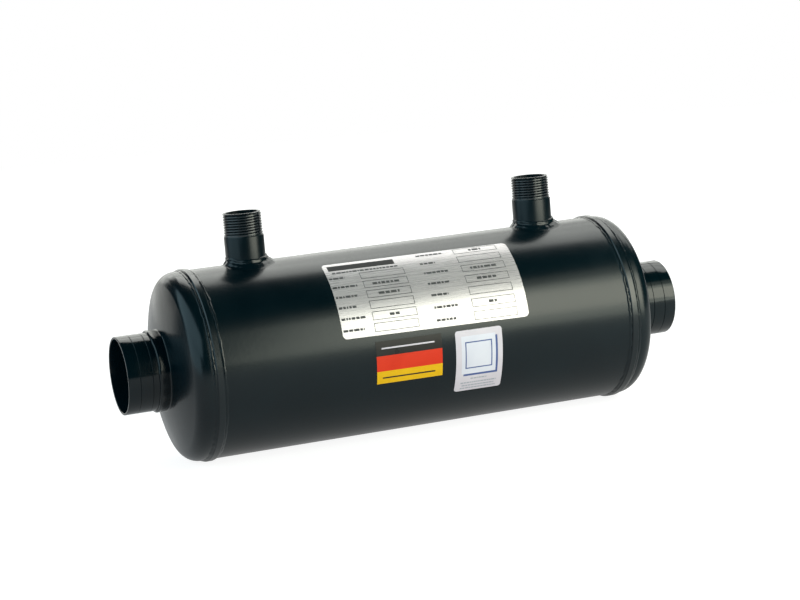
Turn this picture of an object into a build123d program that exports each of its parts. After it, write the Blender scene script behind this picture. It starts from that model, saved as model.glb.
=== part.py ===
from build123d import *
from math import asin, cos, degrees, radians, sin, sqrt
import os

# Shell and tube heat exchanger for a pool water circuit.
# Pool water passes straight through: in at one end port, through the straight tubes and out at the
# other end port. Heating water passes around the tubes, in at one threaded nipple and out at the other.
# The barrel lies along X. The origin is the centre of the left port's rim, and the nipples point up +Z.

# Barrel
shell_diameter = 129.0
shell_wall = 2.0
shell_length = 296.0

# Tube sheets, whose rims show between the barrel and the heads
sheet_thickness = 5.0
sheet_stand = 1.2
rim_chamfer = 0.7

# Dished heads
head_wall = 2.0
head_skirt = 3.0
knuckle_radius = 11.0
crown_radius = 180.0

# Water ports, with two scribed depth marks and a turned seat in the head
port_diameter = 53.0
port_wall = 1.5
port_reach = 26.8
port_inset = 1.5
seat_depth = 0.6
mark_pitch = 8.45
mark_width = 0.5
mark_depth = 0.25
mark_count = 2

# Heating nipples
nipple_setback = 41.2
nipple_height = 34.9
nipple_diameter = 27.2
nipple_wall = 2.8
nipple_inset = 1.0
thread_step = 0.4
thread_length = 16.0
thread_chamfer = 1.2

# Weld beads
girth_weld_leg = 2.0
port_weld_length = 7.0
port_weld_stand = 3.4
port_weld_crown = 1.5
nipple_weld_leg = 4.5

# Tube bundle, in hexagonal rings around a centre tube, as large as its gap to the barrel allows
bundle_rings = 2
bundle_gap = 10.5
tube_gap = 6.0
tube_wall = 1.0
tube_stub = 1.5

# Clearances
tube_fit = 0.1
bore_fit = 0.1

# Radii and places that follow from the sizes above
shell_radius = shell_diameter / 2
port_radius = port_diameter / 2
seat_radius = port_radius - seat_depth
girth_weld_height = sheet_stand - rim_chamfer
nipple_radius = nipple_diameter / 2
nipple_bore_radius = nipple_radius - nipple_wall
thread_radius = nipple_radius - thread_step
bundle_radius = shell_radius - shell_wall - bundle_gap
tube_radius = (bundle_radius - bundle_rings * tube_gap) / (2 * bundle_rings + 1)
tube_pitch = 2 * tube_radius + tube_gap

crown_angle = degrees(asin((shell_radius - knuckle_radius) / (crown_radius - knuckle_radius)))
dish_depth = crown_radius - (crown_radius - knuckle_radius) * cos(radians(crown_angle))


def crown_drop(radius, sphere_radius):
    """How far a crown has fallen back from its apex at a distance from the axis."""
    return sphere_radius - sqrt(sphere_radius**2 - radius**2)


knuckle_start = port_reach + dish_depth
head_end = knuckle_start + head_skirt
shell_start = head_end + sheet_thickness
shell_end = shell_start + shell_length
middle = Plane.YZ.offset(shell_start + shell_length / 2)

port_weld_start = port_reach + crown_drop(port_radius, crown_radius) - port_weld_length
port_end = port_reach + head_wall + crown_drop(port_radius, crown_radius - head_wall) + port_inset

nipple_x = shell_start + nipple_setback
nipple_top = shell_radius + nipple_height
nipple_bottom = sqrt((shell_radius - shell_wall) ** 2 - nipple_radius**2) - nipple_inset
nipple_plane = Plane((nipple_x, 0, 0), x_dir=(1, 0, 0), z_dir=(0, -1, 0))
nipple_axis = Axis((nipple_x, 0, 0), (0, 0, 1))

row_rise = tube_pitch * sin(radians(60))
tube_places = [
    ((column - (2 * bundle_rings - abs(row)) / 2) * tube_pitch, row * row_rise)
    for row in range(-bundle_rings, bundle_rings + 1)
    for column in range(2 * bundle_rings + 1 - abs(row))
]


def dish_section(inset):
    """Half section of the filled dished head, drawn inside its outer form by a wall."""
    with BuildSketch(Plane.XZ) as section:
        with BuildLine():
            skirt = Line((head_end, shell_radius - inset), (knuckle_start, shell_radius - inset))
            knuckle = JernArc(skirt @ 1, skirt % 1, knuckle_radius - inset, 90 - crown_angle)
            crown = JernArc(knuckle @ 1, knuckle % 1, crown_radius - inset, crown_angle)
            Polyline(crown @ 1, (head_end, 0), skirt @ 0)
        make_face()
    return section.sketch_local


def girth_bead(corner_x, way):
    """Section of a fillet bead in the corner between a tube sheet's rim and the plate beside it."""
    with BuildSketch(Plane.XZ) as section:
        with BuildLine():
            Polyline(
                (corner_x, shell_radius),
                (corner_x, shell_radius + girth_weld_height),
                (corner_x + way * girth_weld_leg, shell_radius),
                close=True,
            )
        make_face()
    return section.sketch_local


# Barrel with a hole for each nipple
with BuildPart() as shell:
    with BuildSketch(Plane.YZ.offset(shell_start)):
        Circle(shell_radius)
        Circle(shell_radius - shell_wall, mode=Mode.SUBTRACT)
    extrude(amount=shell_length)
    with BuildSketch(Plane.XY):
        with Locations((nipple_x, 0), (shell_end - nipple_setback, 0)):
            Circle(nipple_radius + bore_fit)
    extrude(amount=shell_radius, mode=Mode.SUBTRACT)

# Tube sheet, its rim's edges broken so that the girth beads lie in shallow corners
with BuildPart() as tube_sheet:
    with BuildSketch(Plane.YZ.offset(head_end)):
        Circle(shell_radius + sheet_stand)
        with Locations(tube_places):
            Circle(tube_radius + tube_fit, mode=Mode.SUBTRACT)
    extrude(amount=sheet_thickness)
    rim = edges().filter_by(GeomType.CIRCLE).group_by(SortBy.RADIUS)[-1]
    chamfer(rim, rim_chamfer)

# Dished head with a hole for the water port
with BuildPart() as head:
    with BuildSketch(Plane.XZ):
        add(dish_section(0))
        add(dish_section(head_wall), mode=Mode.SUBTRACT)
    revolve(axis=Axis.X)
    with BuildSketch(Plane.YZ):
        Circle(seat_radius + bore_fit)
    extrude(amount=head_end, mode=Mode.SUBTRACT)

# Water port
with BuildPart() as water_port:
    with BuildSketch(Plane.XZ):
        with BuildLine():
            Polyline(
                (0, port_radius - port_wall),
                (0, port_radius),
                (port_weld_start, port_radius),
                (port_weld_start, seat_radius),
                (port_end, seat_radius),
                (port_end, port_radius - port_wall),
                close=True,
            )
        make_face()
        for mark in range(1, mark_count + 1):
            with BuildLine():
                Polyline(
                    (mark * mark_pitch - mark_width / 2, port_radius),
                    (mark * mark_pitch + mark_width / 2, port_radius),
                    (mark * mark_pitch, port_radius - mark_depth),
                    close=True,
                )
            make_face(mode=Mode.SUBTRACT)
    revolve(axis=Axis.X)

# Weld bead around the water port, seated on the crown
with BuildPart() as port_weld:
    with BuildSketch(Plane.XZ):
        with BuildLine():
            toe = (port_weld_start, port_radius)
            crown_toe = (knuckle_start, port_radius + port_weld_stand)
            over_crown = port_reach + crown_drop(port_radius + port_weld_stand, crown_radius)
            face = SagittaArc(toe, (over_crown, port_radius + port_weld_stand), port_weld_crown)
            Polyline(
                face @ 1,
                crown_toe,
                (knuckle_start, seat_radius),
                (port_weld_start, seat_radius),
                face @ 0,
            )
        make_face()
        add(dish_section(0), mode=Mode.SUBTRACT)
    revolve(axis=Axis.X)

# Fillet beads on both sides of the tube sheet's rim
with BuildPart() as shell_weld:
    with BuildSketch(Plane.XZ):
        add(girth_bead(shell_start, 1))
    revolve(axis=Axis.X)

with BuildPart() as head_weld:
    with BuildSketch(Plane.XZ):
        add(girth_bead(head_end, -1))
    revolve(axis=Axis.X)

# Heating nipple, with a plain land where the pipe thread is cut
with BuildPart() as heating_nipple:
    with BuildSketch(nipple_plane):
        with BuildLine():
            Polyline(
                (nipple_bore_radius, nipple_bottom),
                (nipple_radius, nipple_bottom),
                (nipple_radius, nipple_top - thread_length),
                (thread_radius, nipple_top - thread_length),
                (thread_radius, nipple_top - thread_chamfer),
                (thread_radius - thread_chamfer, nipple_top),
                (nipple_bore_radius, nipple_top),
                close=True,
            )
        make_face()
    revolve(axis=nipple_axis)

# Saddle bead where the nipple meets the barrel
with BuildPart() as nipple_weld:
    with BuildSketch(Plane.YZ.offset(nipple_x - nipple_diameter)) as barrel_round:
        Circle(shell_radius)
    extrude(amount=2 * nipple_diameter)
    with BuildSketch(Plane.XY) as nipple_round:
        with Locations((nipple_x, 0)):
            Circle(nipple_radius)
    extrude(amount=nipple_top)
    saddle = edges().filter_by(GeomType.LINE, reverse=True).filter_by(GeomType.CIRCLE, reverse=True)
    chamfer(saddle, nipple_weld_leg)
    extrude(barrel_round.sketch, amount=2 * nipple_diameter, mode=Mode.SUBTRACT)
    extrude(nipple_round.sketch, amount=nipple_top, mode=Mode.SUBTRACT)

# Write the pieces, with the right end mirrored from the left
os.makedirs("parts", exist_ok=True)
shell.part.label = "shell"
export_step(shell.part, "parts/shell.step")

end_pieces = {
    "tube_sheet": tube_sheet,
    "head": head,
    "water_port": water_port,
    "port_weld": port_weld,
    "shell_weld": shell_weld,
    "head_weld": head_weld,
    "heating_nipple": heating_nipple,
    "nipple_weld": nipple_weld,
}
for name, left_piece in end_pieces.items():
    left_piece.part.label = f"left_{name}"
    export_step(left_piece.part, f"parts/left_{name}.step")
    with BuildPart() as right_piece:
        mirror(left_piece.part, about=middle)
    right_piece.part.label = f"right_{name}"
    export_step(right_piece.part, f"parts/right_{name}.step")

# Straight tubes, each through both sheets
for number, place in enumerate(tube_places, 1):
    with BuildPart() as tube:
        with BuildSketch(Plane.YZ.offset(head_end - tube_stub)):
            with Locations(place):
                Circle(tube_radius)
                Circle(tube_radius - tube_wall, mode=Mode.SUBTRACT)
        extrude(amount=shell_length + 2 * (sheet_thickness + tube_stub))
    tube.part.label = f"tube_{number:02d}"
    export_step(tube.part, f"parts/tube_{number:02d}.step")
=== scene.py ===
from math import cos, pi, radians, sin, sqrt, tan

import bpy
import numpy as np
from mathutils import Matrix, Quaternion, Vector


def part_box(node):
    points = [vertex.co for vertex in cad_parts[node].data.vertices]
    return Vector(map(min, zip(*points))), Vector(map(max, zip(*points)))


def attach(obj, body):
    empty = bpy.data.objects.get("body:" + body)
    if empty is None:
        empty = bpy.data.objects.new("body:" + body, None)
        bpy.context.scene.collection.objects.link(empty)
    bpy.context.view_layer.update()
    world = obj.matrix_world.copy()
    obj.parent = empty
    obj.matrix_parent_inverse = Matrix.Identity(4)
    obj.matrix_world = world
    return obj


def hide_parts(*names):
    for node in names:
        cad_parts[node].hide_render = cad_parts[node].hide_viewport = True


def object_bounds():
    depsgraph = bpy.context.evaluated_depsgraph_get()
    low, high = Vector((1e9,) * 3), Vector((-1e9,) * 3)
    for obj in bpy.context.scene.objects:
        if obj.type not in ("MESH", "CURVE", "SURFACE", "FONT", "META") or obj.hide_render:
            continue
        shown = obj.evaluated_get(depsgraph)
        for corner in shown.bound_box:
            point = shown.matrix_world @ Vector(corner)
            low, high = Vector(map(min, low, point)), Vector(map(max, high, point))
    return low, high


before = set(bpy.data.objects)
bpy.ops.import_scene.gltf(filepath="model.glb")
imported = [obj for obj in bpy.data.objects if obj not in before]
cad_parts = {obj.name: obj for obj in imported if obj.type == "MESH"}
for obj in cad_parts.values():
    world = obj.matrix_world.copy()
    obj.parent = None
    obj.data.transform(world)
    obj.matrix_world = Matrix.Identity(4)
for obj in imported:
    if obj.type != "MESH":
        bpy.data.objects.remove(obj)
cad_low, cad_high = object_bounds()

mm = 0.001
turn = 2 * pi

# Places and sizes that the frame gives
shell_low, shell_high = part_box("shell")
barrel_radius = max(shell_high.y, -shell_low.z)
barrel_middle = (shell_low.x + shell_high.x) / 2
port_low, port_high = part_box("left_water_port")
port_radius = port_high.z
port_end = port_high.x - port_low.x
sheet_low, sheet_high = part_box("left_tube_sheet")
sheet_radius = max(sheet_high.y, -sheet_low.z)
sheet_stand = sheet_radius - barrel_radius
nipple_low, nipple_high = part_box("left_heating_nipple")
nipple_radius = (nipple_high.x - nipple_low.x) / 2
nipple_top = nipple_high.z
nipple_bottom = nipple_low.z
rim_x = {"left": port_low.x, "right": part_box("right_water_port")[1].x}
inward = {"left": 1, "right": -1}
nipple_reach = (nipple_low.x + nipple_high.x) / 2 - rim_x["left"]
sheet_reach = sheet_low.x - rim_x["left"], sheet_high.x - rim_x["left"]

# Water ports, as the solids have them, with the cut edges broken
port_wall = 1.5 * mm
port_edge = 0.35 * mm
edge_points = 4
mark_pitch = 8.45 * mm
mark_width = 0.5 * mm
mark_depth = 0.25 * mm
mark_count = 2
port_columns = 192

# Crown of the heads, whose height over the axis the port beads follow
crown_radius = 180.0 * mm
crown_reach = 26.8 * mm

# Pipe thread on the nipples
nipple_wall = 2.8 * mm
nipple_edge = 0.3 * mm
thread_step = 0.4 * mm
thread_length = 16.0 * mm
thread_pitch = 1.814 * mm
thread_depth = 1.16 * mm
thread_runout = 2.4 * mm
thread_taper = 0.12 * mm
thread_chamfer = 0.5 * mm
crest_half_share = 0.19
thread_columns = 160
rows_a_pitch = 16

# Girth beads on both sides of each tube sheet's rim
girth_leg = 2.2 * mm
girth_leg_wander = 0.25 * mm
girth_rise = 0.6 * mm
girth_rise_wander = 0.08 * mm
girth_notch = 0.6 * mm
girth_notch_wander = 0.16 * mm
girth_notch_share = 0.28
girth_ripple = 0.09 * mm
rim_chamfer = 0.7 * mm
rim_skin = 0.04 * mm
rim_rows = 6
fill_power = 1.25
open_angle = radians(125)
open_power = 2.0
open_wander = 0.12
open_waves = (3, 30, 6)
girth_leg_waves = (10, 70, 7)
girth_rise_waves = (6, 60, 6)
girth_notch_waves = (8, 90, 8)
girth_phase_waves = (3, 30, 5)
girth_phase_wander = 1.6
girth_body_power = 0.75
girth_ripples = 190
girth_columns = 1330
girth_rows = 11

# Collar beads around the ports
port_bead_toe = 21.0 * mm
port_bead_crest = 1.45 * mm
port_bead_valley = 0.95 * mm
port_bead_shoulder = 1.3 * mm
port_bead_fillet = 0.7 * mm
port_bead_wander = 0.16 * mm
port_bead_lump = 0.08 * mm
port_ripple = 0.03 * mm
port_toe_waves = (3, 18, 6)
port_lump_waves = (4, 26, 7)
port_phase_waves = (3, 20, 4)
port_ripples = 74
port_bead_columns = 592
port_shoulder_rows = 9
port_face_rows = 9

# Saddle beads around the nipples
saddle_up = 5.0 * mm
saddle_out = 4.8 * mm
saddle_skew = 1.6 * mm
saddle_wander = 0.3 * mm
saddle_hollow = 0.85 * mm
saddle_lump = 0.12 * mm
saddle_grain = 0.07 * mm
ridge_places = (0.12, 0.60)
ridge_half_shares = (0.12, 0.19)
ridge_heights = (0.55 * mm, 0.36 * mm)
ridge_wander = 0.2
ridge_waves = (3, 20, 6)
saddle_edge_waves = (2, 11, 6)
saddle_lump_waves = (3, 15, 6)
saddle_grain_waves = (12, 34, 6)
saddle_phase_waves = (2, 12, 4)
saddle_ripple = 0.012 * mm
saddle_ripples = 46
saddle_columns = 414
saddle_rows = 17

# What all the beads share. Waves are given by their lowest and highest frequency and their count.
bead_root = 0.4 * mm
toe_sink = bead_root / 4
ripple_bow = 1.4
bead_seeds = {"head": 10, "shell": 20, "port": 30, "saddle": 40}


def rounded(corners, radius):
    """Closed outline through the corners, each replaced by a few points on an arc."""
    points = []
    corners = np.asarray(corners, float)
    for corner, before, after in zip(corners, np.roll(corners, 1, 0), np.roll(corners, -1, 0)):
        back = (before - corner) / np.linalg.norm(before - corner)
        ahead = (after - corner) / np.linalg.norm(after - corner)
        half = np.arccos(np.clip(back @ ahead, -1, 1)) / 2
        bisector = (back + ahead) / np.linalg.norm(back + ahead)
        centre = corner + bisector * radius / sin(half)
        start = corner + back * radius / tan(half) - centre
        stop = corner + ahead * radius / tan(half) - centre
        for share in np.linspace(0, 1, edge_points):
            blend = start * (1 - share) + stop * share
            points.append(centre + blend * radius / np.linalg.norm(blend))
    return points


def add_piece(name, vertices, faces, material, sharp_angle=40):
    """A smooth mesh piece that rides on the body, with its faces turned outwards."""
    mesh = bpy.data.meshes.new(name)
    mesh.from_pydata(np.asarray(vertices).reshape(-1, 3).tolist(), [], faces)
    mesh.update()
    mesh.shade_smooth()
    mesh.set_sharp_from_angle(angle=radians(sharp_angle))
    mesh.materials.append(material)
    piece = bpy.data.objects.new(name, mesh)
    bpy.context.scene.collection.objects.link(piece)
    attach(piece, "root")
    return piece


def ring_faces(rows, columns, flipped):
    """Quads over a grid of points that closes both ways."""
    corner = np.arange(rows * columns).reshape(rows, columns)
    right = np.roll(corner, -1, 1)
    below = np.roll(corner, -1, 0)
    across = np.roll(right, -1, 0)
    quads = np.stack([corner, right, across, below], -1).reshape(-1, 4)
    return (quads[:, ::-1] if flipped else quads).tolist()


def add_ring(name, points, material):
    """A closed ring from rows of points, each row one full turn."""
    rows, columns = points.shape[:2]
    first, second = points, np.roll(points, -1, 1)
    third, fourth = np.roll(second, -1, 0), np.roll(points, -1, 0)
    volume = np.einsum("ijk,ijk->", first, np.cross(second, third))
    volume += np.einsum("ijk,ijk->", first, np.cross(third, fourth))
    return add_piece(name, points, ring_faces(rows, columns, volume < 0), material)


def full_turn(columns):
    """Angles once around, without the last that repeats the first."""
    return np.linspace(0, turn, columns, endpoint=False)


def wander(rng, angles, fewest, most, count):
    """A smooth random wave around a full turn, mostly within -1 to 1."""
    wave = np.zeros_like(angles)
    for frequency in rng.integers(fewest, most, count):
        wave += np.sin(frequency * angles + rng.uniform(0, turn))
    return wave / sqrt(count)


def about_barrel(side, reach, radius, angles):
    """Points at distances inward from a port's rim and radii from the barrel's axis."""
    x = rim_x[side] + inward[side] * reach
    return np.stack(np.broadcast_arrays(x, radius * np.cos(angles), radius * np.sin(angles)), -1)


# Materials
def new_material(name, roughness, metallic=0.0):
    """A material with its shader, and a link maker between its nodes."""
    material = bpy.data.materials.new(name)
    material.use_nodes = True
    nodes = material.node_tree.nodes
    shader = nodes["Principled BSDF"]
    shader.inputs["Roughness"].default_value = roughness
    shader.inputs["Metallic"].default_value = metallic
    return material, nodes, shader, material.node_tree.links.new


def add_noise(nodes, link, place, scale, detail=3.0):
    """A noise texture over the object's own coordinates."""
    noise = nodes.new("ShaderNodeTexNoise")
    noise.inputs["Scale"].default_value = scale
    noise.inputs["Detail"].default_value = detail
    link(place, noise.inputs["Vector"])
    return noise.outputs["Fac"]


def add_ramp(nodes, link, value, low, high, low_at=0.3, high_at=0.7):
    """A colour ramp between two colours, read from a value."""
    ramp = nodes.new("ShaderNodeValToRGB")
    ramp.color_ramp.elements[0].position = low_at
    ramp.color_ramp.elements[0].color = (*low, 1)
    ramp.color_ramp.elements[1].position = high_at
    ramp.color_ramp.elements[1].color = (*high, 1)
    link(value, ramp.inputs["Fac"])
    return ramp.outputs["Color"]


def add_range(nodes, link, value, low, high, from_low=0.3, from_high=0.7):
    """A value stretched from its own range to another."""
    stretch = nodes.new("ShaderNodeMapRange")
    stretch.inputs["From Min"].default_value = from_low
    stretch.inputs["From Max"].default_value = from_high
    stretch.inputs["To Min"].default_value = low
    stretch.inputs["To Max"].default_value = high
    link(value, stretch.inputs["Value"])
    return stretch.outputs["Result"]


def add_bump(nodes, link, height, strength, distance):
    """A bump from a height."""
    bump = nodes.new("ShaderNodeBump")
    bump.inputs["Strength"].default_value = strength
    bump.inputs["Distance"].default_value = distance
    link(height, bump.inputs["Height"])
    return bump.outputs["Normal"]


def object_place(nodes):
    """The object's own coordinates, which are the row frame's on the part's pieces."""
    return nodes.new("ShaderNodeTexCoord").outputs["Object"]


paint_dark = (0.0004, 0.0052, 0.0078)
paint_pale = (0.0008, 0.0068, 0.0100)
paint_roughness = 0.22
paint_specular = 0.36
paint_gloss_spread = 0.03
cloud_scale = 28.0
peel_scale = 420.0
peel_detail = 2.0
peel_height = 0.4 * mm


def paint_material(name, roughness=paint_roughness, peel=0.05, specular=paint_specular):
    """Satin black paint with a slight green blue cast, orange peel and uneven gloss."""
    material, nodes, shader, link = new_material(name, roughness)
    shader.inputs["Specular IOR Level"].default_value = specular
    place = object_place(nodes)
    clouds = add_noise(nodes, link, place, cloud_scale)
    link(add_ramp(nodes, link, clouds, paint_dark, paint_pale), shader.inputs["Base Color"])
    gloss = add_range(nodes, link, clouds, roughness - paint_gloss_spread, roughness + paint_gloss_spread)
    link(gloss, shader.inputs["Roughness"])
    orange_peel = add_noise(nodes, link, place, peel_scale, peel_detail)
    link(add_bump(nodes, link, orange_peel, peel, peel_height), shader.inputs["Normal"])
    return material


steel_dark = (0.33, 0.33, 0.32)
steel_pale = (0.52, 0.51, 0.49)
steel_roughness = 0.35
steel_gloss_spread = 0.07
streak_stretch = (6.0, 300.0, 300.0)
streak_scale = 2.0
streak_detail = 5.0
streak_bump = 0.1
streak_height = 0.1 * mm


def steel_material(name):
    """Drawn stainless tube with streaks along its length."""
    material, nodes, shader, link = new_material(name, steel_roughness, 1.0)
    stretch = nodes.new("ShaderNodeMapping")
    stretch.inputs["Scale"].default_value = streak_stretch
    link(object_place(nodes), stretch.inputs["Vector"])
    streaks = add_noise(nodes, link, stretch.outputs["Vector"], streak_scale, streak_detail)
    link(add_ramp(nodes, link, streaks, steel_dark, steel_pale), shader.inputs["Base Color"])
    gloss = add_range(
        nodes, link, streaks, steel_roughness - steel_gloss_spread, steel_roughness + steel_gloss_spread
    )
    link(gloss, shader.inputs["Roughness"])
    link(add_bump(nodes, link, streaks, streak_bump, streak_height), shader.inputs["Normal"])
    return material


bare_inset = 1.0 * mm
bare_blend = 0.5 * mm
sheet_grain_scale = 260.0
sheet_grain_detail = 5.0
sheet_grain_bump = 0.06
sheet_grain_height = 0.3 * mm


def sheet_material(name):
    """A tube sheet: painted where its rim shows outside, bare steel inside the barrel."""
    material, nodes, shader, link = new_material(name, paint_roughness)
    place = object_place(nodes)
    grain = add_noise(nodes, link, place, sheet_grain_scale, sheet_grain_detail)
    parts = nodes.new("ShaderNodeSeparateXYZ")
    link(place, parts.inputs["Vector"])
    across = nodes.new("ShaderNodeCombineXYZ")
    link(parts.outputs["Y"], across.inputs["X"])
    link(parts.outputs["Z"], across.inputs["Y"])
    length = nodes.new("ShaderNodeVectorMath")
    length.operation = "LENGTH"
    link(across.outputs["Vector"], length.inputs[0])
    edge = barrel_radius - bare_inset
    bare = add_range(nodes, link, length.outputs["Value"], 1.0, 0.0, edge, edge + bare_blend)
    steel = add_ramp(nodes, link, grain, steel_dark, steel_pale)
    paint = add_ramp(nodes, link, grain, paint_dark, paint_pale)
    mix = nodes.new("ShaderNodeMix")
    mix.data_type = "RGBA"
    link(bare, mix.inputs["Factor"])
    link(paint, mix.inputs["A"])
    link(steel, mix.inputs["B"])
    link(mix.outputs["Result"], shader.inputs["Base Color"])
    link(bare, shader.inputs["Metallic"])
    link(add_bump(nodes, link, grain, sheet_grain_bump, sheet_grain_height), shader.inputs["Normal"])
    return material


foil_dark = (0.55, 0.515, 0.53)
foil_pale = (0.60, 0.565, 0.58)
foil_roughness = 0.28
foil_gloss_spread = 0.04
foil_metallic = 0.40
foil_stretch = (40.0, 900.0, 900.0)
foil_grain_scale = 1.0
foil_grain_detail = 4.0
foil_grain_bump = 0.03
foil_grain_height = 0.1 * mm


def foil_material(name):
    """Silver printed foil with a fine rolled grain."""
    material, nodes, shader, link = new_material(name, foil_roughness, foil_metallic)
    stretch = nodes.new("ShaderNodeMapping")
    stretch.inputs["Scale"].default_value = foil_stretch
    link(object_place(nodes), stretch.inputs["Vector"])
    grain = add_noise(nodes, link, stretch.outputs["Vector"], foil_grain_scale, foil_grain_detail)
    link(add_ramp(nodes, link, grain, foil_dark, foil_pale), shader.inputs["Base Color"])
    gloss = add_range(
        nodes, link, grain, foil_roughness - foil_gloss_spread, foil_roughness + foil_gloss_spread
    )
    link(gloss, shader.inputs["Roughness"])
    link(add_bump(nodes, link, grain, foil_grain_bump, foil_grain_height), shader.inputs["Normal"])
    return material


film_specular = 0.25
film_gloss_spread = 0.04
film_tone_scale = 60.0
film_grain_scale = 700.0
film_grain_detail = 2.0
film_grain_bump = 0.03
film_grain_height = 0.1 * mm


def film_material(name, low, high, roughness):
    """A printed plastic film, a little uneven in tone."""
    material, nodes, shader, link = new_material(name, roughness)
    shader.inputs["Specular IOR Level"].default_value = film_specular
    place = object_place(nodes)
    tone = add_noise(nodes, link, place, film_tone_scale)
    link(add_ramp(nodes, link, tone, low, high), shader.inputs["Base Color"])
    gloss = add_range(nodes, link, tone, roughness - film_gloss_spread, roughness + film_gloss_spread)
    link(gloss, shader.inputs["Roughness"])
    fine = add_noise(nodes, link, place, film_grain_scale, film_grain_detail)
    link(add_bump(nodes, link, fine, film_grain_bump, film_grain_height), shader.inputs["Normal"])
    return material


paint = paint_material("satin_black_paint")
port_paint = paint_material("port_paint", roughness=0.13, peel=0.03)
nipple_paint = paint_material("nipple_paint", roughness=0.30, specular=0.27)
thread_paint = paint_material("thread_paint", roughness=0.20, peel=0.03, specular=0.80)
bead_paint = paint_material("bead_paint", roughness=0.24, peel=0.06)
steel = steel_material("drawn_steel")
sheet_finish = sheet_material("tube_sheet_finish")
foil = foil_material("plate_foil")
ink = film_material("dark_ink", (0.018, 0.018, 0.019), (0.028, 0.028, 0.030), 0.6)
faint_ink = film_material("faint_ink", (0.05, 0.05, 0.052), (0.075, 0.075, 0.078), 0.6)
dark_film = film_material("dark_film", (0.016, 0.014, 0.013), (0.022, 0.020, 0.018), 0.3)
red_film = film_material("red_film", (0.64, 0.030, 0.007), (0.70, 0.038, 0.010), 0.40)
yellow_film = film_material("yellow_film", (0.74, 0.42, 0.003), (0.80, 0.46, 0.005), 0.40)
white_film = film_material("white_film", (0.62, 0.57, 0.64), (0.67, 0.62, 0.69), 0.40)
sky_film = film_material("sky_film", (0.66, 0.66, 0.76), (0.72, 0.72, 0.81), 0.40)
blue_film = film_material("blue_film", (0.060, 0.095, 0.26), (0.080, 0.120, 0.31), 0.35)
pale_ink = film_material("pale_ink", (0.34, 0.36, 0.42), (0.40, 0.42, 0.47), 0.5)

# Finishes of the solids that show as they are
for node_name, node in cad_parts.items():
    node.data.materials.clear()
    if node_name.startswith("tube_"):
        node.data.materials.append(steel)
    elif node_name.endswith("tube_sheet"):
        node.data.materials.append(sheet_finish)
    else:
        node.data.materials.append(paint)


# Water ports
def add_port(side):
    """A port tube with broken edges and its scribed marks."""
    corners = [
        (0, port_radius - port_wall),
        (0, port_radius),
        (port_end, port_radius),
        (port_end, port_radius - port_wall),
    ]
    outline = rounded(corners, port_edge)
    rim, tail = outline[:2 * edge_points], outline[2 * edge_points:]
    marks = []
    for mark in range(1, mark_count + 1):
        middle = mark * mark_pitch
        marks.append((middle - mark_width / 2, port_radius))
        marks.append((middle, port_radius - mark_depth))
        marks.append((middle + mark_width / 2, port_radius))
    section = np.array([*rim, *marks, *tail])
    points = about_barrel(side, section[:, :1], section[:, 1:], full_turn(port_columns)[None])
    piece = add_ring(f"{side}_port_tube", points, port_paint)
    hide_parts(f"{side}_water_port")


# Heating nipples
def thread_form(share):
    """Depth of a groove over one pitch, 0 on the flat crest and 1 in the root."""
    from_crest = 0.5 - np.abs((share % 1) - 0.5)
    slope = np.clip((from_crest - crest_half_share) / (0.5 - crest_half_share), 0, 1)
    return slope**2 * (3 - 2 * slope)


def add_nipple(side):
    """A nipple with a cut helical thread that runs out above its shoulder."""
    angles = full_turn(thread_columns)
    shoulder = nipple_top - thread_length
    bore = nipple_radius - nipple_wall
    land = nipple_radius - thread_step
    fine = np.arange(shoulder + nipple_edge, nipple_top, thread_pitch / rows_a_pitch)
    lead = fine[:, None] / thread_pitch - angles[None] / turn
    fade = np.clip((fine - shoulder - nipple_edge) / thread_runout, 0, 1)[:, None]
    crest = land - thread_taper * np.clip((fine - shoulder) / thread_length, 0, 1)[:, None]
    cut = crest - thread_depth * fade * thread_form(lead)
    cone = land - thread_taper - np.clip(fine - (nipple_top - thread_chamfer), 0, None)[:, None]
    cone[fine < nipple_top - thread_chamfer] = land
    threaded = np.minimum(cut, cone)
    plain = np.ones((1, thread_columns))
    shank = [
        (bore * plain, nipple_bottom),
        ((nipple_radius - nipple_edge) * plain, nipple_bottom),
        (nipple_radius * plain, nipple_bottom + nipple_edge),
        (nipple_radius * plain, shoulder - nipple_edge),
        ((nipple_radius - nipple_edge / 3) * plain, shoulder),
    ]
    thread = [(radius[None], height) for radius, height in zip(threaded, fine)]
    mouth = [
        (np.minimum(threaded[-1:], land - thread_taper - thread_chamfer), nipple_top),
        ((bore + nipple_edge) * plain, nipple_top),
        (bore * plain, nipple_top - nipple_edge),
    ]
    rows = [*shank, *thread, *mouth]
    radii = np.concatenate([radius for radius, height in rows])
    heights = np.array([height for radius, height in rows])[:, None]
    x = rim_x[side] + inward[side] * nipple_reach + radii * np.cos(angles)
    y = radii * np.sin(angles)
    points = np.stack(np.broadcast_arrays(x, y, heights), -1)
    piece = add_ring(f"{side}_threaded_nipple", points, nipple_paint)
    piece.data.materials.append(thread_paint)
    finishes = np.zeros((len(rows), thread_columns), np.int32)
    finishes[len(shank):-len(mouth)] = 1
    piece.data.polygons.foreach_set("material_index", finishes.ravel())
    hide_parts(f"{side}_heating_nipple")


# Weld beads
def ripple(angles, shares, count, phase):
    """Overlapping scales along a bead, bowed across it, from 0 to 1."""
    wave = count * angles[None] / 2 + ripple_bow * (2 * shares[:, None] - 1) ** 2 + phase[None]
    return 1 - np.abs(np.sin(wave))


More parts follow.
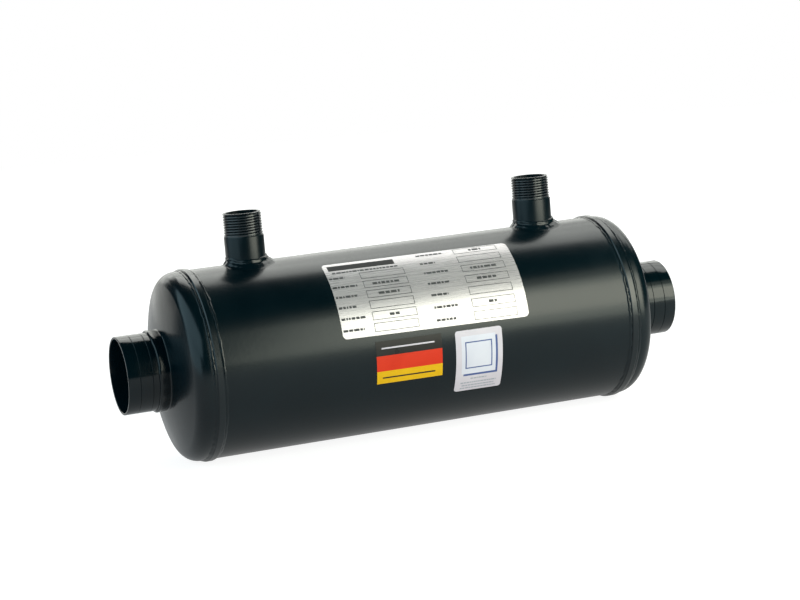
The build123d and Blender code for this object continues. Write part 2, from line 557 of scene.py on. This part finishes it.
def add_girth_bead(side, name, corner, way, seed):
    """A bead beside a tube sheet's rim, with an open groove along the rim where it isn't filled."""
    rng = np.random.default_rng(seed)
    angles = full_turn(girth_columns)
    shares = np.linspace(0, 1, girth_rows)
    leg = girth_leg + girth_leg_wander * wander(rng, angles, *girth_leg_waves)
    rise = girth_rise + girth_rise_wander * wander(rng, angles, *girth_rise_waves)
    notch = girth_notch + girth_notch_wander * wander(rng, angles, *girth_notch_waves)
    notch = np.clip(notch, 0, None)
    phase = girth_phase_wander * wander(rng, angles, *girth_phase_waves)
    opening = ((1 + np.cos(angles - open_angle)) / 2) ** open_power
    opening = np.clip(opening + open_wander * wander(rng, angles, *open_waves), 0, 1)[None]
    scales = ripple(angles, shares, girth_ripples, phase)
    body = (1 - shares**2)[:, None] ** girth_body_power
    groove = np.exp(-((shares / girth_notch_share) ** 2))[:, None]
    open_bead = rise[None] * body - notch[None] * groove + girth_ripple * scales * body * opening
    over = np.linspace(-rim_chamfer - rim_skin, 0, rim_rows)[:-1]
    open_rim = sheet_stand - rim_skin - np.clip(over + rim_chamfer, 0, None)
    open_height = np.concatenate([np.repeat(open_rim[:, None], girth_columns, 1), open_bead])
    reach = np.concatenate([np.repeat(over[:, None], girth_columns, 1), shares[:, None] * leg[None]])
    run = (reach + rim_chamfer + rim_skin) / (leg + rim_chamfer + rim_skin)[None]
    filled = (sheet_stand - rim_skin) * (1 - run**fill_power)
    height = filled * (1 - opening) + open_height * opening
    height[-1] = -toe_sink
    root_reach = np.stack([np.full(girth_columns, leg.mean()), np.full(girth_columns, over[0])])
    reach = corner + way * np.concatenate([reach, root_reach])
    height = np.concatenate([height, np.full((2, girth_columns), -bead_root)])
    points = about_barrel(side, reach, barrel_radius + height, angles[None])
    piece = add_ring(f"{side}_{name}_bead", points, bead_paint)
    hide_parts(f"{side}_{name}_weld")


def crown_at(radius):
    """How far inward from the port's rim the crown is at a radius."""
    return crown_reach + crown_radius - np.sqrt(crown_radius**2 - radius**2)


def add_port_bead(side, seed):
    """The collar bead around a port: a rounded shoulder, a nearly level face and a small fillet."""
    rng = np.random.default_rng(seed)
    angles = full_turn(port_bead_columns)
    toe = port_bead_toe + port_bead_wander * wander(rng, angles, *port_toe_waves)
    crest = port_radius + port_bead_crest + port_bead_lump * wander(rng, angles, *port_lump_waves)
    valley = port_radius + port_bead_valley + port_bead_lump * wander(rng, angles, *port_lump_waves)
    bend = np.linspace(0, pi / 2, port_shoulder_rows)[:, None]
    phase = wander(rng, angles, *port_phase_waves)
    scales = ripple(angles, bend[:, 0] / pi, port_ripples, phase)
    shoulder_reach = toe + port_bead_shoulder * (1 - np.cos(bend))
    shoulder_radius = port_radius + (crest - port_radius + port_ripple * scales) * np.sin(bend)
    share = np.linspace(0, 1, port_face_rows)[1:, None]
    face_end = crown_at(valley) - port_bead_fillet
    face_reach = shoulder_reach[-1] * (1 - share) + face_end * share
    face_radius = shoulder_radius[-1] * (1 - share) + valley * share
    bend = np.linspace(0, pi / 2, port_shoulder_rows)[1:, None]
    brim = valley + port_bead_fillet
    fillet_reach = face_end + (crown_at(brim) - face_end) * np.sin(bend)
    fillet_radius = valley + port_bead_fillet * (1 - np.cos(bend))
    root = np.full_like(toe, port_radius - bead_root)
    root_reach = np.stack([crown_at(brim) + bead_root, crown_at(brim) + bead_root, toe])
    root_radius = np.stack([brim, root, root])
    points = about_barrel(
        side,
        np.concatenate([shoulder_reach, face_reach, fillet_reach, root_reach]),
        np.concatenate([shoulder_radius, face_radius, fillet_radius, root_radius]),
        angles[None],
    )
    piece = add_ring(f"{side}_port_bead", points, port_paint)
    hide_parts(f"{side}_port_weld")


def add_saddle_bead(side, seed):
    """The lumpy fillet bead where a nipple stands on the barrel."""
    rng = np.random.default_rng(seed)
    angles = full_turn(saddle_columns)
    shares = np.linspace(0, 1, saddle_rows)
    share = shares[:, None]
    up = saddle_up + saddle_wander * wander(rng, angles, *saddle_edge_waves)
    out = saddle_out + saddle_wander * wander(rng, angles, *saddle_edge_waves)
    out = out + saddle_skew * np.cos(angles)

    def barrel_height(radius):
        return np.sqrt(barrel_radius**2 - (radius * np.sin(angles)) ** 2)

    top = barrel_height(nipple_radius) + up
    foot = nipple_radius + out
    lump = saddle_lump * wander(rng, angles, *saddle_lump_waves)
    lump += saddle_grain * wander(rng, angles, *saddle_grain_waves)
    lump -= saddle_hollow
    phase = wander(rng, angles, *saddle_phase_waves)
    scales = ripple(angles, shares, saddle_ripples, phase)
    swell = np.sin(pi * share) * (lump[None] + saddle_ripple * scales)
    for place, half_share, ridge_height in zip(ridge_places, ridge_half_shares, ridge_heights):
        ridge = ridge_height * (1 + ridge_wander * wander(rng, angles, *ridge_waves))
        swell = swell + ridge[None] * np.exp(-(((share - place) / half_share) ** 2))
    slope = np.hypot(up, out)
    radius = nipple_radius + out[None] * share + swell * (up / slope)[None]
    height = top[None] * (1 - share) + barrel_height(foot)[None] * share + swell * (out / slope)[None]
    height = np.maximum(height, np.sqrt(barrel_radius**2 - (radius * np.sin(angles)[None]) ** 2))
    inner = np.full_like(angles, nipple_radius - bead_root)
    root_radius = np.stack([foot, inner, inner])
    root_height = np.stack([barrel_height(foot) - bead_root, barrel_height(inner) - bead_root, top])
    radius = np.concatenate([radius, root_radius])
    height = np.concatenate([height, root_height])
    x = rim_x[side] + inward[side] * nipple_reach + radius * np.cos(angles)[None]
    y = radius * np.sin(angles)[None]
    piece = add_ring(f"{side}_saddle_bead", np.stack([x, y, height], -1), bead_paint)
    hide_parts(f"{side}_nipple_weld")


for seed, side in enumerate(("left", "right")):
    add_port(side)
    add_nipple(side)
    add_girth_bead(side, "head", sheet_reach[0], -1, bead_seeds["head"] + seed)
    add_girth_bead(side, "shell", sheet_reach[1], 1, bead_seeds["shell"] + seed)
    add_port_bead(side, bead_seeds["port"] + seed)
    add_saddle_bead(side, bead_seeds["saddle"] + seed)


# Labels, drawn flat from their lower left corner and then wrapped on the barrel
film_thickness = 0.12 * mm
ink_thickness = 0.03 * mm
inked = film_thickness + ink_thickness
wrap_step = 1.6 * mm
slab_step = 6 * wrap_step
corner_points = 7
slab_sharp_angle = 30
dash_widths = (0.7, 2.4)
dash_gap = 0.42
print_seed = 7
print_rng = np.random.default_rng(print_seed)


class Label:
    """A place on the barrel: its lower left corner, measured from the barrel's middle and around it."""

    def __init__(self, left, bottom, width, height, tilt=0.0):
        self.left = left
        self.bottom = bottom
        self.width = width
        self.height = height
        self.tilt = radians(tilt)

    def wrap(self, along, up, lift):
        """A point of the flat label, at a height over the barrel."""
        from_x = along - self.width / 2
        from_y = up - self.height / 2
        x = self.left + self.width / 2 + from_x * cos(self.tilt) - from_y * sin(self.tilt)
        around = self.bottom + self.height / 2 + from_x * sin(self.tilt) + from_y * cos(self.tilt)
        angle = around / barrel_radius
        radius = barrel_radius + lift
        return barrel_middle + x, -radius * cos(angle), radius * sin(angle)


def patch(label, left, bottom, width, height, low, high, corner=0.0):
    """Vertices and faces of a thin slab on a label, with rounded corners."""
    rows = max(2, int(height / wrap_step) + 2)
    columns = max(2, int(width / slab_step) + 2)
    ups = np.linspace(0, height, rows)
    if corner:
        bend = corner * (1 - np.cos(np.linspace(0, pi / 2, corner_points)))
        straight = np.linspace(corner, height - corner, rows)
        ups = np.unique(np.concatenate([bend, straight, height - bend]))
    rows = len(ups)
    vertices = []
    for lift in (high, low):
        for up in ups:
            near = min(up, height - up)
            inset = corner - sqrt(max(0.0, corner**2 - max(0.0, corner - near) ** 2))
            for along in np.linspace(inset, width - inset, columns):
                vertices.append(label.wrap(left + along, bottom + up, lift))
    grid = np.arange(rows * columns).reshape(rows, columns)
    under = rows * columns
    top = np.stack([grid[:-1, :-1], grid[:-1, 1:], grid[1:, 1:], grid[1:, :-1]], -1).reshape(-1, 4)
    border = np.array([*grid[0], *grid[1:, -1], *grid[-1, -2::-1], *grid[-2:0:-1, 0]])
    following = np.roll(border, -1)
    sides = np.stack([following, border, border + under, following + under], -1)
    faces = np.concatenate([top, top[:, ::-1] + under, sides])
    return vertices, faces.tolist()


def add_patches(name, label, patches, low, high, material, corner=0.0):
    """One piece from several slabs on a label, each given as left, bottom, width and height."""
    vertices, faces = [], []
    for left, bottom, width, height in patches:
        more, more_faces = patch(label, left, bottom, width, height, low, high, corner)
        faces += [tuple(index + len(vertices) for index in face) for face in more_faces]
        vertices += more
    return add_piece(name, vertices, faces, material, slab_sharp_angle)


def outline_box(left, bottom, width, height, line):
    """Four strips around a box."""
    return [
        (left, bottom, width, line),
        (left, bottom + height - line, width, line),
        (left, bottom + line, line, height - 2 * line),
        (left + width - line, bottom + line, line, height - 2 * line),
    ]


def dashes(rng, left, bottom, length, height):
    """A row of plain dashes, as wide as a line of print."""
    row = []
    reach = 0.0
    while reach < length:
        dash = min(rng.uniform(*dash_widths) * height, length - reach)
        row.append((left + reach, bottom, dash, height))
        reach += dash + dash_gap * height
    return row


# Rating plate with two columns of blank boxes, each beside a row of plain dashes
plate = Label(-63.2 * mm, 12.5 * mm, 134.7 * mm, 61.4 * mm, -1.05)
plate_corner = 3.0 * mm
plate_margin = 0.6 * mm
rule_width = 0.42 * mm
box_width = 31.8 * mm
box_height = 6.0 * mm
blank_every = 3
# Each column's left edge, lowest box, pitch, count of boxes and reach of the names beside them
box_columns = (
    (22.9 * mm, 2.4 * mm, 8.0 * mm, 6, 22.0 * mm),
    (94.9 * mm, 1.9 * mm, 8.9 * mm, 7, 27.5 * mm),
)
bar_height = 1.6 * mm
value_height = 1.9 * mm
bar_lengths = (15.0, 17.0, 12.5, 15.5, 17.5, 11.0, 19.0)
value_lengths = (0.0, 7.0, 10.0, 15.0, 19.0, 17.0, 9.0)
head_bar = (3.0 * mm, 53.2 * mm, 47.5 * mm, 5.4 * mm)
head_line = (4.6 * mm, 50.0 * mm, 47.0 * mm, 1.4 * mm)

plate_face = (0, 0, plate.width, plate.height)
add_patches("rating_plate", plate, [plate_face], 0, film_thickness, foil, plate_corner)
rules, bars = [], dashes(print_rng, *head_line)
for box_left, first_bottom, pitch, rows, name_reach in box_columns:
    for row in range(rows):
        bottom = first_bottom + row * pitch
        height = min(box_height, plate.height - plate_margin - bottom)
        rules += outline_box(box_left, bottom, box_width, height, rule_width)
        bar_bottom = bottom + box_height / 2 - bar_height / 2
        bars += dashes(print_rng, box_left - name_reach, bar_bottom, bar_lengths[row] * mm, bar_height)
        if value_lengths[row] and (row + 1) % blank_every:
            middle = box_left + box_width / 2
            length = value_lengths[row] * mm
            value_bottom = bottom + box_height / 2 - value_height / 2
            bars += dashes(print_rng, middle - length / 2, value_bottom, length, value_height)
add_patches("rating_plate_rules", plate, rules, film_thickness, inked, faint_ink)
add_patches("rating_plate_bars", plate, bars, film_thickness, inked, faint_ink)
add_patches("rating_plate_heading", plate, [head_bar], film_thickness, inked, ink)

# Stripe label of three plain bands
stripe = Label(-42.2 * mm, -20.6 * mm, 47.3 * mm, 29.5 * mm, -0.6)
band_shares = (0.30, 0.36, 0.34)
band_films = (yellow_film, red_film, dark_film)
band_names = ("yellow", "red", "dark")
band_bottom = 0.0
for band_share, band_film, band_name in zip(band_shares, band_films, band_names):
    band_height = band_share * stripe.height
    add_patches(
        f"stripe_label_{band_name}_band", stripe, [(0, band_bottom, stripe.width, band_height)],
        0, film_thickness, band_film,
    )
    band_bottom += band_height
pale_rule = (4.0 * mm, 24.0 * mm, 38.0 * mm, 1.0 * mm)
dark_rule = (4.0 * mm, 3.6 * mm, 38.0 * mm, 1.0 * mm)
add_patches("stripe_label_pale_rule", stripe, [pale_rule], film_thickness, inked, white_film)
add_patches("stripe_label_dark_rule", stripe, [dark_rule], film_thickness, inked, dark_film)

# Panel label with a plain framed panel over grey bars
panel = Label(15.0 * mm, -36.9 * mm, 34.3 * mm, 44.9 * mm, -0.6)
panel_corner = 2.0 * mm
face_left, face_bottom, face_width, face_height = 4.2 * mm, 13.8 * mm, 25.0 * mm, 27.0 * mm
shade_width = 1.5 * mm
frame_inset, frame_rise = 2.6 * mm, 4.0 * mm
frame_line = 0.8 * mm
small_bar_height = 1.0 * mm
small_bar_rows = ((12.0 * mm, 9.3 * mm), (26.0 * mm, 6.2 * mm), (24.0 * mm, 3.9 * mm), (26.0 * mm, 1.7 * mm))

panel_sheet = (0, 0, panel.width, panel.height)
panel_face = (face_left, face_bottom, face_width, face_height)
add_patches("panel_label", panel, [panel_sheet], 0, film_thickness, white_film, panel_corner)
add_patches("panel_label_face", panel, [panel_face], film_thickness, inked, sky_film)
shades = [
    (face_left + shade_width, face_bottom - shade_width, face_width, shade_width),
    (face_left + face_width, face_bottom, shade_width, face_height - shade_width),
]
add_patches("panel_label_shade", panel, shades, film_thickness, inked, blue_film)
frame_strips = outline_box(
    face_left + frame_inset, face_bottom + frame_rise,
    face_width - 2 * frame_inset, face_height - 2 * frame_rise, frame_line,
)
add_patches("panel_label_frame", panel, frame_strips, inked, inked + ink_thickness, blue_film)
small_bars = []
for length, bottom in small_bar_rows:
    small_bars += dashes(print_rng, (panel.width - length) / 2, bottom, length, small_bar_height)
add_patches("panel_label_bars", panel, small_bars, film_thickness, inked, pale_ink)

# Plain pale floor, brighter outwards until it meets the white backdrop. It glows less in reflections, so
# that the paint stays dark.
floor_radius = 2.6
floor_sides = 96
floor_roughness = 0.9
floor_tone = 0.26
near_glow, near_reach = 0.90, 0.35
far_glow, far_reach = 1.0, 0.95
reflected_glow = 0.40

floor_mesh = bpy.data.meshes.new("floor")
corners = [
    (floor_radius * cos(angle), floor_radius * sin(angle), 0)
    for angle in full_turn(floor_sides)
]
floor_mesh.from_pydata(corners, [], [tuple(range(len(corners)))])
floor = bpy.data.objects.new("floor", floor_mesh)
floor.location = (barrel_middle, 0, cad_low.z)
bpy.context.scene.collection.objects.link(floor)
floor_material, floor_nodes, floor_shader, floor_link = new_material("lit_table", floor_roughness)
floor_shader.inputs["Specular IOR Level"].default_value = 0.0
floor_shader.inputs["Base Color"].default_value = (floor_tone, floor_tone, floor_tone, 1)
floor_shader.inputs["Emission Color"].default_value = (1, 1, 1, 1)
floor_length = floor_nodes.new("ShaderNodeVectorMath")
floor_length.operation = "LENGTH"
floor_link(object_place(floor_nodes), floor_length.inputs[0])
glow = add_range(
    floor_nodes, floor_link, floor_length.outputs["Value"], near_glow, far_glow, near_reach, far_reach
)
floor_path = floor_nodes.new("ShaderNodeLightPath")
strength = floor_nodes.new("ShaderNodeMix")
floor_link(floor_path.outputs["Is Camera Ray"], strength.inputs["Factor"])
strength.inputs["A"].default_value = reflected_glow
floor_link(glow, strength.inputs["B"])
floor_link(strength.outputs["Result"], floor_shader.inputs["Emission Strength"])
floor_mesh.materials.append(floor_material)

# Soft studio light: a near soft box to the right of the camera, cooler panels at the left, and panels
# behind that brighten upwards. Azimuths count from the front to the right, seen from above.
centre = Vector((barrel_middle, 0, 0))


def add_panel(name, azimuth, elevation, distance, width, height, brightness, tint, roll=0.0):
    """A soft light that faces the object, of a given brightness over its face."""
    light = bpy.data.lights.new(name, "AREA")
    light.shape = "RECTANGLE"
    light.size = width
    light.size_y = height
    light.energy = brightness * pi * width * height
    light.color = tint
    azimuth, elevation = radians(azimuth), radians(elevation)
    outward = Vector((
        sin(azimuth) * cos(elevation),
        -cos(azimuth) * cos(elevation),
        sin(elevation),
    ))
    lamp = bpy.data.objects.new(name, light)
    lamp.location = centre + distance * outward
    facing = outward.to_track_quat("Z", "Y")
    lamp.rotation_euler = (facing @ Quaternion((0, 0, 1), radians(roll))).to_euler()
    lamp.visible_camera = False
    bpy.context.scene.collection.objects.link(lamp)


core, warm, cool, plain = (1.05, 1.0, 0.82), (0.94, 1.0, 0.86), (0.60, 0.90, 1.02), (0.98, 1.0, 0.95)
soft_box_roll, back_mid_roll, back_high_roll = -18, -3, -4
# Each panel's name, azimuth, elevation, distance, width, height, brightness, tint and roll
panels = (
    ("soft_box", 36.0, 18.5, 0.81, 0.48, 0.36, 2.7, core, soft_box_roll),
    ("soft_box_edge", 33.5, 17.5, 0.83, 0.73, 0.62, 2.95, warm, soft_box_roll),
    ("soft_box_spill", 35.0, 16.5, 0.85, 0.78, 1.0, 0.9, warm, soft_box_roll),
    ("left_low", -85, 6.0, 1.8, 2.5, 0.72, 1.4, cool),
    ("left_high", -80, 36.5, 1.8, 3.6, 1.2, 1.55, cool),
    ("back_low", 185, 0.5, 1.6, 2.4, 0.32, 0.92, plain),
    ("back_rise", 164, 17.5, 1.6, 2.52, 0.60, 1.75, plain),
    ("back_mid", 152, 37.0, 1.6, 2.7, 0.42, 2.2, plain, back_mid_roll),
    ("back_high", 148, 54.5, 1.6, 2.0, 0.58, 3.3, plain, back_high_roll),
)
for panel_values in panels:
    add_panel(*panel_values)

# World: white to the camera, nearly dark to the object
world_dark = (0.004, 0.005, 0.006, 1)
world = bpy.data.worlds.new("studio")
bpy.context.scene.world = world
world.use_nodes = True
world_nodes = world.node_tree.nodes
world_link = world.node_tree.links.new
dim = world_nodes["Background"]
dim.inputs["Color"].default_value = world_dark
backdrop = world_nodes.new("ShaderNodeBackground")
backdrop.inputs["Color"].default_value = (1, 1, 1, 1)
seen = world_nodes.new("ShaderNodeLightPath")
blend = world_nodes.new("ShaderNodeMixShader")
world_link(seen.outputs["Is Camera Ray"], blend.inputs["Fac"])
world_link(dim.outputs["Background"], blend.inputs[1])
world_link(backdrop.outputs["Background"], blend.inputs[2])
world_link(blend.outputs["Shader"], world_nodes["World Output"].inputs["Surface"])

# Camera where the photograph was taken from
camera_place = Vector((-328.54, -1440.22, 263.39)) * mm
camera_yaw, camera_pitch, camera_roll = radians(20.30), radians(8.85), radians(-4.86)
camera_lens = 100.2
forward = Vector((
    sin(camera_yaw) * cos(camera_pitch),
    cos(camera_yaw) * cos(camera_pitch),
    -sin(camera_pitch),
))
level = forward.cross(Vector((0, 0, 1))).normalized()
upright = level.cross(forward)
across = cos(camera_roll) * level + sin(camera_roll) * upright
upward = -sin(camera_roll) * level + cos(camera_roll) * upright
camera = bpy.data.objects.new("camera", bpy.data.cameras.new("camera"))
camera.data.lens = camera_lens
facing = Matrix((across, upward, -forward)).transposed().to_4x4()
camera.matrix_world = Matrix.Translation(camera_place) @ facing
bpy.context.scene.collection.objects.link(camera)
bpy.context.scene.camera = camera
bpy.context.scene.view_settings.view_transform = "Standard"
